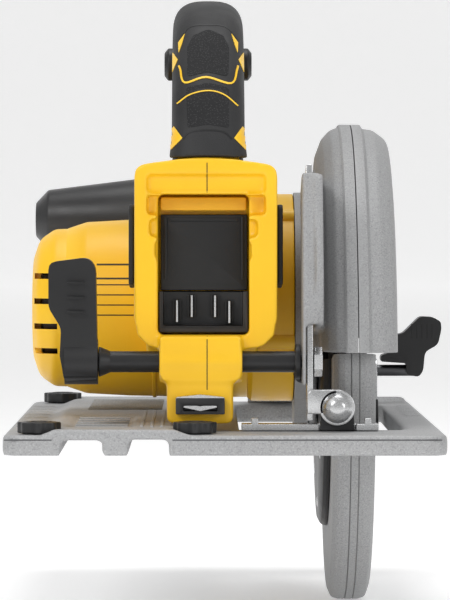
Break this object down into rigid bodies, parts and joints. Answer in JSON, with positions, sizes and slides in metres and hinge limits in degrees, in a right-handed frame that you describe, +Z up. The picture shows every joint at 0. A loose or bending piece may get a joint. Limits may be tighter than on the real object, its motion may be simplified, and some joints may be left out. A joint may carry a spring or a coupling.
{
  "type": "circular saw",
  "caption": "Cordless circular saw with loop handle, tilting and depth-adjustable shoe, swinging lower blade guard and battery slide; battery left off.",
  "frame": {"origin": "underside of the shoe, below the arbor and midway across the shoe", "axes": "+Z up, +Y the cutting direction and the shoe's length, +X towards the blade side"},
  "size_m": [0.1873, 0.29, 0.2532],
  "materials": {
    "yellow_housing": "fine moulded texture",
    "black_plastic": "satin moulded",
    "grip_rubber": "matt, textured",
    "cast_guard": "bead-blasted casting",
    "shoe_metal": "sandblasted casting",
    "bright_steel": "zinc plated",
    "dark_steel": "oiled",
    "blade_steel": "ground",
    "copper_winding": "enamelled wire",
    "board": "lacquered"
  },
  "bodies": {
    "shoe": {"shoe_plate": "shoe_metal", "rear_strip": "bright_steel", "rear_pivot_ear": "black_plastic", "front_quadrant": "bright_steel", "lock_bracket": "bright_steel"},
    "rail_adjuster_front": {"rail_knob_front": "black_plastic"},
    "rail_adjuster_rear": {"rail_knob_rear": "black_plastic"},
    "fence_screw": {"fence_knob": "black_plastic"},
    "tilt_lock": {"bevel_lever": "black_plastic", "bevel_lock_shaft": "dark_steel"},
    "tilt_carrier": {"depth_bracket": "bright_steel", "rear_pivot_plate": "bright_steel", "rear_pivot_rivet": "bright_steel", "front_pivot_rivet": "bright_steel", "front_carrier": "bright_steel", "tilt_clamp_bolt": "bright_steel", "depth_pivot_pin": "bright_steel"},
    "saw_body": {"upper_guard_inner": "cast_guard", "upper_guard_outer": "cast_guard", "gear_case": "cast_guard", "motor_housing": "yellow_housing", "motor_end_cap": "yellow_housing", "handle_left": "yellow_housing", "handle_right": "yellow_housing", "grip": "grip_rubber", "bumper_left": "grip_rubber", "bumper_right": "grip_rubber", "terminal_block": "black_plastic", "terminal_1": "bright_steel", "terminal_2": "bright_steel", "terminal_3": "bright_steel", "terminal_4": "bright_steel", "control_board": "board", "switch_module": "black_plastic", "stator": "copper_winding", "motor_rear_bearing": "bright_steel", "motor_front_bearing": "bright_steel", "spindle_bearing": "bright_steel", "aux_handle": "grip_rubber", "aux_bracket": "black_plastic", "clip_body": "black_plastic", "clamp_nut": "bright_steel", "guard_spring": "dark_steel"},
    "depth_lock": {"depth_lever": "black_plastic", "depth_rod": "dark_steel"},
    "swing_guard": {"lower_guard": "cast_guard", "guard_hub_plate": "black_plastic", "guard_lever": "black_plastic"},
    "blade_group": {"spindle": "dark_steel", "drive_gear": "dark_steel", "inner_flange": "dark_steel", "outer_flange": "dark_steel", "blade": "blade_steel", "blade_bolt": "dark_steel"},
    "rotor": {"rotor_shaft": "bright_steel", "rotor_core": "dark_steel", "fan": "black_plastic"},
    "trigger_switch": {"trigger": "black_plastic"},
    "lock_off_button": {"lock_off": "black_plastic"},
    "arbor_lock": {"spindle_lock": "black_plastic"}
  },
  "joints": [
    {"name": "tilt", "type": "hinge", "parent": "shoe", "child": "tilt_carrier", "pos_m": [0.0445, 0, 0.0175], "axis": [0, 1, 0], "range_deg": [0, 56]},
    {"name": "depth", "type": "hinge", "parent": "tilt_carrier", "child": "saw_body", "pos_m": [0, 0.118, 0.024], "axis": [-1, 0, 0], "range_deg": [0, 18]},
    {"name": "depth_lock_turn", "type": "hinge", "parent": "saw_body", "child": "depth_lock", "pos_m": [0, -0.11, 0.0354], "axis": [1, 0, 0], "range_deg": [0, 60]},
    {"name": "guard_swing", "type": "hinge", "parent": "saw_body", "child": "swing_guard", "pos_m": [0, 0, 0.028], "axis": [-1, 0, 0], "range_deg": [0, 155], "stiffness_Nm_per_rad": 0.08, "springref_deg": -57.3},
    {"name": "blade_spin", "type": "hinge", "parent": "saw_body", "child": "blade_group", "pos_m": [0, 0, 0.028], "axis": [1, 0, 0], "continuous": true},
    {"name": "rotor_spin", "type": "hinge", "parent": "saw_body", "child": "rotor", "pos_m": [0, 0, 0.0545], "axis": [1, 0, 0], "continuous": true},
    {"name": "trigger_pull", "type": "hinge", "parent": "saw_body", "child": "trigger_switch", "pos_m": [0, 0.013, 0.159], "axis": [-1, 0, 0], "range_deg": [0, 7], "stiffness_Nm_per_rad": 0.5, "springref_deg": -5.73},
    {"name": "lock_off_push", "type": "slide", "parent": "saw_body", "child": "lock_off_button", "axis": [1, 0, 0], "range_m": [-0.003, 0.003], "stiffness_N_per_m": 300},
    {"name": "arbor_lock_push", "type": "slide", "parent": "saw_body", "child": "arbor_lock", "axis": [0, 1, 0], "range_m": [0, 0.0024], "stiffness_N_per_m": 500, "springref_m": -0.001},
    {"name": "tilt_lock_turn", "type": "hinge", "parent": "shoe", "child": "tilt_lock", "pos_m": [0, 0.126, 0.023], "axis": [-1, 0, 0], "range_deg": [0, 55]},
    {"name": "rail_front_turn", "type": "hinge", "parent": "shoe", "child": "rail_adjuster_front", "pos_m": [-0.0728, 0.128, 0], "axis": [0, 0, 1], "range_deg": [0, 90]},
    {"name": "rail_rear_turn", "type": "hinge", "parent": "shoe", "child": "rail_adjuster_rear", "pos_m": [-0.0728, -0.134, 0], "axis": [0, 0, 1], "range_deg": [0, 90]},
    {"name": "fence_screw_turn", "type": "hinge", "parent": "shoe", "child": "fence_screw", "pos_m": [-0.0118, -0.134, 0], "axis": [0, 0, 1], "continuous": true}
  ],
  "couplings": [
    {"joint": "rotor_spin", "follows": "blade_spin", "ratio": -4.2}
  ]
}
